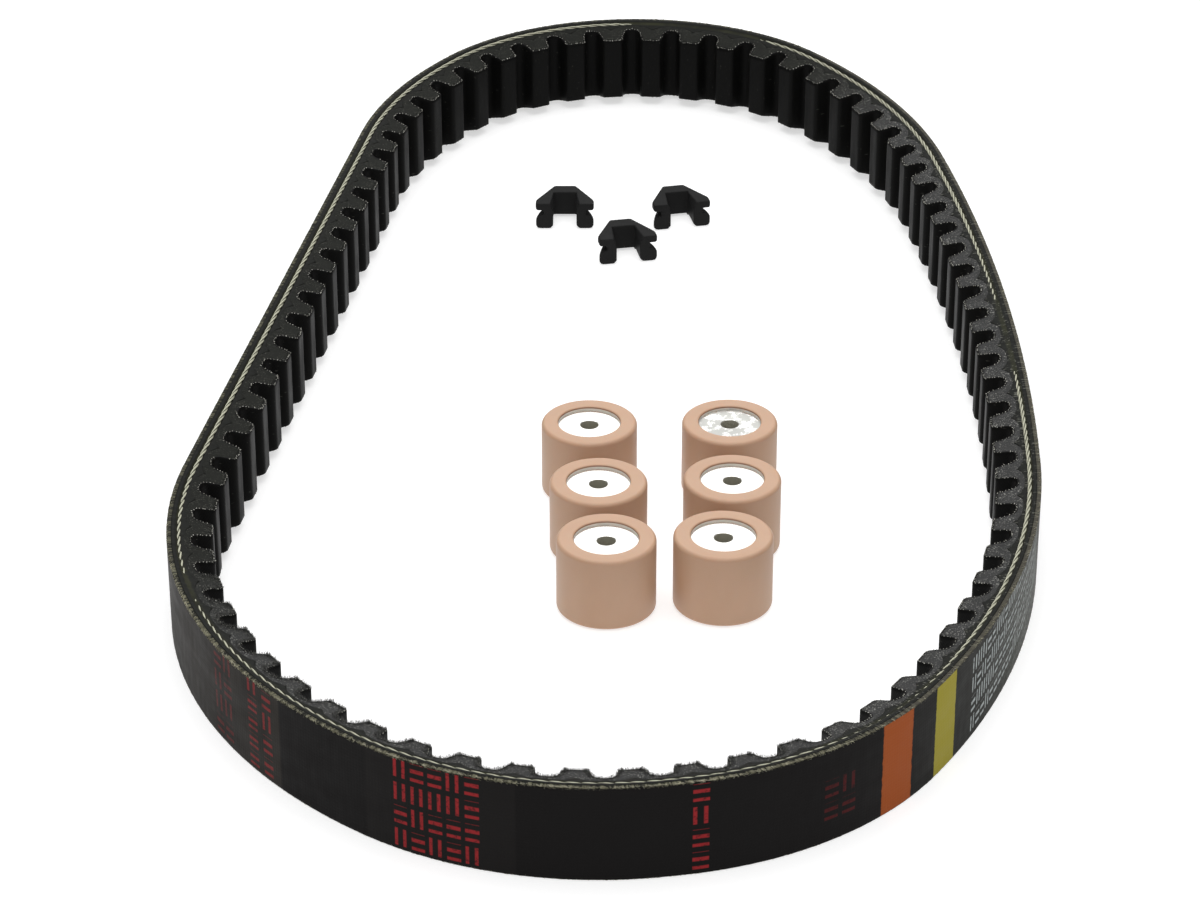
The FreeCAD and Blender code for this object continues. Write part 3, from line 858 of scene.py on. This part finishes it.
def marks(s, along, height, left, right, columns, low, pitch, rows, seed):
    """Mask of a printed block of plain bars, in columns along the belt and rows up it."""
    across = s.math("DIVIDE", s.minus(along, left * MM), (right - left) * MM / columns)
    up = s.math("DIVIDE", s.minus(height, low * MM), pitch * MM)
    corner = {0: s.math("FLOOR", across), 1: s.math("FLOOR", up), 2: seed}
    cell = s.node("ShaderNodeCombineXYZ", corner).outputs[0]
    pick = s.node("ShaderNodeTexWhiteNoise", {"Vector": cell}).outputs[0]
    part_across, part_up = s.math("FRACT", across), s.math("FRACT", up)
    upright = s.between(s.math("FRACT", s.times(part_across, UPRIGHT_BARS)), *UPRIGHT_INK, 0.07)
    lying = s.between(s.math("FRACT", s.times(part_up, LYING_BARS)), *LYING_INK, 0.07)
    bars = s.node("ShaderNodeMix", {"Factor": s.step(pick, 0.45, 0.46), "A": upright, "B": lying},
                  data_type="FLOAT").outputs[0]
    inside = s.times(s.between(part_across, *CELL_ACROSS, 0.02), s.between(part_up, *CELL_UP, 0.02))
    whole = s.times(s.between(across, 0.0, columns, 0.001), s.between(up, 0.0, rows, 0.001))
    return s.times(bars, s.times(inside, whole))


def pale_left(s, vector, along, base):
    """The paler stretch at the front left, with a soft start and a hard end."""
    pale = s.times(s.step(along, *PALE_START), s.step(along, *PALE_END, 1.0, 0.0))
    patches = s.step(s.noise(s.stretch(vector, (1, 0.3, 1)), 140, 3), 0.25, 0.6, 0.55, 1.0)
    return s.mix(s.times(pale, patches), base, colour(42, 39, 36))


def wrap_bands(s, along, base):
    """Faint bands across the back, where the wraps of the mould met."""
    for left, right, soft in WRAP_BANDS:
        band = s.between(along, left, right, soft)
        base = s.mix(s.times(band, 0.3), base, colour(34, 32, 31))
    return base


def grey_right(s, vector, along, base):
    """Grey wear on the right side, with mottling at the white print, fading out at the rear."""
    fading = s.step(along, *GREY_END, 1.0, 0.0)
    for start, share, tone in GREY_WEAR:
        grey = s.times(s.step(along, *start, 0.0, share), fading)
        base = s.mix(grey, base, colour(*tone))
    patches = s.step(s.noise(vector, 1000, 3, 0.6), 0.46, 0.58)
    mottled = s.times(patches, s.between(along, *MOTTLED))
    return s.mix(s.times(mottled, 0.45), base, colour(122, 125, 120))


def printed_marks(s, vector, along, height, base):
    """Worn blocks of plain bars, red on the front and white on the right."""
    worn = s.step(s.noise(vector, 900, 4, 0.7), 0.36, 0.5, 0.35, 1.0)
    red = 0.0
    for *place, strength, seed in RED_MARKS:
        mask = s.times(marks(s, along, height, *place, seed), strength)
        red = s.math("MAXIMUM", red, mask)
    base = s.mix(s.times(red, worn), base, colour(165, 42, 46))
    climb = s.times(s.minus(along, WHITE_MARKS[0] * MM), WHITE_SLOPE)
    white = s.times(marks(s, along, s.minus(height, climb), *WHITE_MARKS), worn)
    white = s.times(white, s.step(along, 0.655, 0.70, 0.7, 0.4))
    return s.mix(white, base, colour(190, 197, 197))


def painted_stripes(s, vector, along, weave, base):
    """Stripes of paint with slightly wavy edges. The weave shows through a little."""
    wander = s.times(s.minus(s.noise(vector, 700, 2), 0.5), 0.6 * MM)
    wavy = s.plus(along, wander)
    cover = s.plus(0.93, s.times(weave, 0.04))
    for left, right, tone in STRIPES:
        stripe = s.between(wavy, left * MM, right * MM, 0.15 * MM)
        base = s.mix(s.times(stripe, cover), base, colour(*tone))
    return base


def cut_rim(s, vector, along, height, base):
    """The back's cut edges: pale thread ends in dark rubber, and lint on the right."""
    middle = BELT_WIDTH / 2
    from_middle = s.math("ABSOLUTE", s.minus(height, middle))
    rim = s.step(from_middle, middle - 0.26 * MM, middle - 0.03 * MM)
    ends = s.step(s.noise(s.stretch(vector, (1, 0.4, 1)), 1500, 3), 0.48, 0.6)
    left_share = s.step(along, 0.38, 0.43, 0.45, 0.75)
    right_share = s.step(along, 0.62, 0.70, 0.75, 0.2)
    threads = s.times(ends, s.math("MINIMUM", left_share, right_share))
    tone = s.mix(threads, colour(30, 30, 25), colour(112, 110, 90))
    tone = s.mix(s.step(along, 0.59, 0.63, 0.0, 0.75), tone, colour(72, 69, 61))
    specks = s.step(s.noise(vector, 2600, 2), 0.58, 0.66)
    lint = s.times(specks, s.step(along, 0.62, 0.72, 0.15, 0.5))
    tone = s.mix(lint, tone, colour(140, 139, 124))
    return s.mix(rim, base, tone)


def back_material():
    """Rubbered canvas, with its wear, print, paint and cut rim."""
    s = Shader("rubbered_fabric")
    vector, along, height = s.belt()
    cloudy = s.noise(s.stretch(vector, (1, 3, 1)), 60, 4, 0.6)
    turns = TURN / WEAVE
    rising = s.math("SINE", s.times(s.plus(along, height), turns))
    falling = s.math("SINE", s.times(s.minus(along, height), turns))
    weave = s.times(rising, falling)
    base = s.mix(cloudy, colour(15, 14, 14), colour(22, 20, 20))
    base = pale_left(s, vector, along, base)
    base = wrap_bands(s, along, base)
    base = grey_right(s, vector, along, base)
    base = printed_marks(s, vector, along, height, base)
    base = painted_stripes(s, vector, along, weave, base)
    base = cut_rim(s, vector, along, height, base)
    fine = s.times(s.noise(vector, 2200, 3), 0.8)
    relief = s.plus(s.times(weave, 0.5), fine)
    s.put(Base_Color=base, Roughness=s.step(cloudy, 0.3, 0.7, 0.5, 0.62), Specular_IOR_Level=0.06,
          Normal=s.bump(relief, 0.03 * MM, 0.5))
    return s.material


def flank_depth(s, height):
    """Depth in the belt, from the height of a point on either flank."""
    low = s.math("MINIMUM", height, s.minus(BELT_WIDTH, height))
    return s.plus(s.math("DIVIDE", low, FLANK_SLOPE), BACK_FABRIC)


def adhesion_material():
    """Smooth black rubber, ground on the flanks: an olive bloom beside the cord, dust on the right."""
    s = Shader("adhesion_rubber")
    vector, along, height = s.belt()
    depth = flank_depth(s, height)
    scratches = s.noise(s.stretch(vector, (0.05, 6, 1)), 4000, 3, 0.6)
    cloudy = s.noise(vector, 160, 4, 0.6)
    base = s.mix(scratches, colour(14, 15, 13), colour(24, 25, 21))
    beside = s.between(depth, 2.0 * MM, 3.35 * MM, 0.3 * MM)
    bloom = s.times(beside, s.step(cloudy, 0.35, 0.65, 0.25, 0.9))
    base = s.mix(bloom, base, colour(41, 42, 27))
    specks = s.step(s.noise(vector, 2600, 2), 0.62, 0.68)
    dust = s.times(specks, s.between(along, 0.60, 0.93, 0.04))
    base = s.mix(s.times(dust, 0.6), base, colour(134, 134, 124))
    s.put(Base_Color=base, Roughness=0.5, Specular_IOR_Level=0.05,
          Normal=s.bump(scratches, 0.02 * MM, 0.6))
    return s.material


def cog_rubber_material():
    """Rubber filled with short fibres, which show as pale flecks where the flank was ground. Painted
    sheen makes the rubber and its flecks lighter from the front round to the right.
    """
    s = Shader("fibre_rubber")
    _, along, _ = s.belt()
    place = s.position()
    cloudy = s.noise(place, 300, 3)
    flecks = s.step(s.noise(s.stretch(place, (1, 1, 0.2)), 2600, 2, 0.4), 0.58, 0.65)
    flecks = s.times(flecks, s.step(s.noise(place, 240, 2), 0.4, 0.62, 0.25, 0.95))
    flecks = s.times(flecks, s.step(along, 0.36, 0.44, 0.6, 1.0))
    base = s.mix(cloudy, colour(20, 21, 18), colour(28, 29, 25))
    # Painted sheen: the rubber is painted lighter from the front round to the right, and its flecks
    # brighter there.
    painted_sheen = s.times(s.between(along, 0.43, 0.95, 0.03), s.step(cloudy, 0.2, 0.8, 0.7, 1.0))
    base = s.mix(painted_sheen, base, colour(56, 56, 56))
    base = s.mix(flecks, base, s.mix(painted_sheen, colour(74, 74, 68), colour(140, 140, 135)))
    grain = s.noise(place, 5000, 3, 0.7)
    s.put(Base_Color=base, Roughness=0.72, Specular_IOR_Level=0.1, Normal=s.bump(grain, 0.05 * MM, 0.7))
    return s.material


def facing_material():
    """Knitted fabric soaked in rubber: fine ribs and loops, with a little pale lint."""
    s = Shader("knit_facing")
    vector, _, height = s.belt()
    run = s.node("ShaderNodeAttribute", attribute_name="run").outputs["Fac"]
    ribs = s.math("SINE", s.times(run, TURN / KNIT))
    loops = s.math("SINE", s.times(height, TURN / (KNIT * 1.4)))
    knit = s.times(ribs, loops)
    cloudy = s.noise(s.stretch(vector, (1, 0.25, 1)), 260, 4, 0.6)
    base = s.mix(cloudy, colour(9, 9, 9), colour(16, 16, 15))
    lint = s.times(s.step(s.noise(vector, 1800, 2), 0.68, 0.74), 0.35)
    base = s.mix(lint, base, colour(90, 90, 84))
    relief = s.plus(knit, s.times(s.noise(vector, 3000, 2), 0.8))
    s.put(Base_Color=base, Roughness=s.step(cloudy, 0.3, 0.7, 0.42, 0.58), Specular_IOR_Level=0.055,
          Normal=s.bump(relief, 0.03 * MM, 0.5))
    return s.material


def thread_material(name, tone, worn_tone, roughness):
    """Thread or fibre that varies between its two tones."""
    s = Shader(name)
    place = s.position()
    base = s.mix(s.step(s.noise(place, 900, 3), 0.35, 0.65), colour(*tone), colour(*worn_tone))
    s.put(Base_Color=base, Roughness=roughness, Specular_IOR_Level=0.2, Sheen_Weight=0.1)
    return s.material


def cord_material():
    """Cream polyester: fine filaments, painted shade between the plies, and dark where rubber is left.
    """
    s = Shader("polyester_cord")
    place = s.position()
    outer = s.node("ShaderNodeAttribute", attribute_name="outer").outputs["Fac"]
    filaments = s.noise(place, 9000, 2)
    base = s.mix(filaments, colour(158, 158, 138), colour(206, 205, 184))
    # Painted shade: the plies are darker on the sides that face the cord's middle, where they press
    # together.
    base = s.mix(s.step(outer, 0.60, 0.95, 0.75, 0.0), base, colour(48, 47, 34))
    smear = s.times(s.step(s.noise(place, 420, 4, 0.7), 0.58, 0.70), 0.6)
    base = s.mix(smear, base, colour(52, 52, 40))
    s.put(Base_Color=base, Roughness=0.7, Specular_IOR_Level=0.25,
          Normal=s.bump(filaments, 0.02 * MM, 0.5))
    return s.material


def axis_distance(s, place):
    """Distance from the turning axis on a roller."""
    flat = s.node("ShaderNodeVectorMath", {0: place, 1: (1, 1, 0)}, operation="MULTIPLY").outputs[0]
    return s.node("ShaderNodeVectorMath", {0: flat}, operation="LENGTH").outputs["Value"]


def sleeve_material():
    """Moulded nylon, a little translucent, with faint flow marks and pores, a painted light band low in
    the bore and a painted shadow line under the lip.
    """
    s = Shader("peach_nylon")
    place = s.position()
    radius = axis_distance(s, place)
    flow = s.noise(s.stretch(place, (1, 1, 0.6)), 90, 3, 0.5)
    base = s.mix(s.step(flow, 0.3, 0.7), colour(185, 149, 122), colour(189, 154, 128))
    pores = s.step(s.noise(place, 2600, 3, 0.6), 0.64, 0.74)
    base = s.mix(s.times(pores, 0.1), base, colour(160, 120, 95))
    in_bore = s.step(radius, LIP_RADIUS + 0.1 * MM, LIP_RADIUS + 0.25 * MM, 1.0, 0.0)
    height = s.node("ShaderNodeSeparateXYZ", {0: place}).outputs[2]
    # Painted light: the bore's wall is painted pale below the lip, standing in for light on the wall and
    # its reflection on the metal.
    painted_bore_light = s.step(height, ROLLER_TOP - 0.6 * MM, ROLLER_TOP - 0.45 * MM, 1.0, 0.0)
    base = s.mix(s.times(in_bore, painted_bore_light), base, colour(220, 211, 200))
    # Painted shadow: a dark line on the bore's wall just under the lip's edge.
    lip_shadow_band = s.between(height, ROLLER_TOP - 0.48 * MM, ROLLER_TOP - 0.22 * MM, 0.12 * MM)
    shaded = s.times(s.times(in_bore, lip_shadow_band), 0.8)
    base = s.mix(shaded, base, colour(120, 84, 62))
    grain = s.noise(place, 1800, 4, 0.6)
    s.put(Base_Color=base, Roughness=s.step(flow, 0.3, 0.7, 0.42, 0.52), Specular_IOR_Level=0.4,
          Subsurface_Weight=0.2, Subsurface_Radius=(1.0, 0.45, 0.25), Subsurface_Scale=0.0015,
          Normal=s.bump(grain, 0.02 * MM, 0.4))
    return s.material


def metal_material(name, scuffs):
    """Turned metal: fine rings, scuffs from 0, few, to 1, many, and painted shade in the hole."""
    s = Shader(name)
    place = s.position()
    radius = axis_distance(s, place)
    uneven = s.plus(radius, s.times(s.noise(place, 60, 2), 0.25 * MM))
    rings = s.math("SINE", s.times(uneven, TURN / RING_PITCH))
    scuff = s.step(s.noise(place, 420, 5, 0.7), 0.62 - scuffs * 0.2, 0.72 - scuffs * 0.2)
    dulled = s.times(scuff, 0.5 * scuffs + 0.1)
    base = s.mix(dulled, colour(238, 238, 234), colour(130, 130, 125))
    # Painted shade: the hole's wall gets a darker colour and is less metallic than the face, for the
    # shade inside the hole.
    in_hole = s.step(radius, HOLE_RADIUS + 0.02 * MM, HOLE_RADIUS + 0.08 * MM, 1.0, 0.0)
    base = s.mix(in_hole, base, colour(172, 169, 154))
    relief = s.plus(rings, s.times(scuff, 6 * scuffs))
    s.put(Base_Color=base, Metallic=s.minus(1.0, s.times(in_hole, 0.65)),
          Roughness=s.plus(0.15, s.times(scuff, 0.3)),
          Normal=s.bump(relief, 0.001 * MM, 0.5))
    return s.material


def slider_material():
    """Satin black nylon with a fine moulded grain."""
    s = Shader("black_nylon")
    place = s.position()
    cloudy = s.noise(place, 350, 4, 0.6)
    grain = s.noise(place, 3500, 3, 0.6)
    base = s.mix(cloudy, colour(33, 33, 33), colour(38, 38, 38))
    s.put(Base_Color=base, Roughness=s.step(cloudy, 0.3, 0.7, 0.36, 0.5), Specular_IOR_Level=0.015,
          Normal=s.bump(grain, 0.02 * MM, 0.5))
    return s.material


def floor_material():
    """White paper that glows a little, so that shadows stay faint."""
    s = Shader("floor_white")
    s.put(Base_Color=colour(190, 190, 190), Roughness=0.9, Emission_Color=colour(255, 255, 255),
          Emission_Strength=0.6)
    return s.material


# ---- Assembly ----

def finish_piece(piece, body, slot, material, *replaced):
    """Gives a piece its material and body, and hides the CAD nodes that it stands for. The slot argument
    is not used.
    """
    piece.data.materials.append(material)
    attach(piece, body)
    if replaced:
        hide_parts(*replaced)


finish_piece(outer_fabric(), "belt", "back_fabric", back_material(), "belt_back_fabric")
finish_piece(adhesion_rubber(), "belt", "cushion_rubber", adhesion_material(), "belt_cushion_rubber")
finish_piece(edge_cords(), "belt", "tension_cord", cord_material(), "belt_tension_cord")
finish_piece(cog_rubber(), "belt", "cog_rubber", cog_rubber_material(), "belt_cog_body")
finish_piece(knit_facing(), "belt", "cog_facing", facing_material(), "belt_cog_facing")
finish_piece(rim_fray(), "belt", "back_fabric",
             thread_material("canvas_thread", (110, 107, 86), (178, 174, 150), 0.8))
finish_piece(facing_ends(), "belt", "cog_facing",
             thread_material("facing_thread", (128, 127, 118), (205, 204, 194), 0.8))
finish_piece(cog_fuzz(), "belt", "cog_rubber",
             thread_material("rubber_fibre", (52, 52, 50), (96, 96, 92), 0.85))

NYLON = sleeve_material()
METAL = metal_material("turned_metal", 0.1)
SCUFFED_METAL = metal_material("scuffed_metal", 1.0)
for number in range(1, 7):
    roller = f"roller_{number}"
    finish_piece(roller_sleeve(number), roller, "sleeve_nylon", NYLON, f"{roller}_sleeve")
    metal = SCUFFED_METAL if number == SCUFFED_ROLLER else METAL
    finish_piece(roller_core(number), roller, "core_metal", metal, f"{roller}_core")
BLACK = slider_material()
for number in range(1, 4):
    slider = f"slider_{number}"
    finish_piece(slide_piece(number), slider, "slider_nylon", BLACK, slider)


# ---- Floor, lights and camera ----

def floor():
    corners = [(-1, -1), (1, -1), (1, 1), (-1, 1)]
    mesh = bpy.data.meshes.new("floor")
    mesh.from_pydata([(x * FLOOR_HALF, y * FLOOR_HALF, -FLOOR_DROP) for x, y in corners], [],
                     [(0, 1, 2, 3)])
    piece = bpy.data.objects.new("floor", mesh)
    bpy.context.scene.collection.objects.link(piece)
    piece.data.materials.append(floor_material())


def softbox(name, place, size, power):
    """Round area light that faces the origin."""
    light = bpy.data.lights.new(name, "AREA")
    light.shape = "DISK"
    light.size = size
    light.energy = power
    lamp = bpy.data.objects.new(name, light)
    bpy.context.scene.collection.objects.link(lamp)
    lamp.location = place
    x, y, z = place
    lamp.rotation_euler = (math.atan2(math.hypot(x, y), z), 0, math.atan2(x, -y))


def world():
    """Even white light from all round."""
    sky = bpy.data.worlds.new("studio")
    sky.use_nodes = True
    sky.node_tree.nodes["Background"].inputs["Color"].default_value = (1, 1, 1, 1)
    sky.node_tree.nodes["Background"].inputs["Strength"].default_value = SKY_STRENGTH
    bpy.context.scene.world = sky


def camera():
    lens = bpy.data.cameras.new("camera")
    lens.lens = CAMERA_LENS
    lens.sensor_width = CAMERA_SENSOR
    piece = bpy.data.objects.new("camera", lens)
    bpy.context.scene.collection.objects.link(piece)
    piece.rotation_mode = "XYZ"
    piece.location = CAMERA_PLACE
    piece.rotation_euler = (CAMERA_TILT, 0, 0)
    bpy.context.scene.camera = piece


floor()
world()
for box in SOFTBOXES:
    softbox(*box)
camera()
bpy.context.scene.view_settings.view_transform = "Standard"
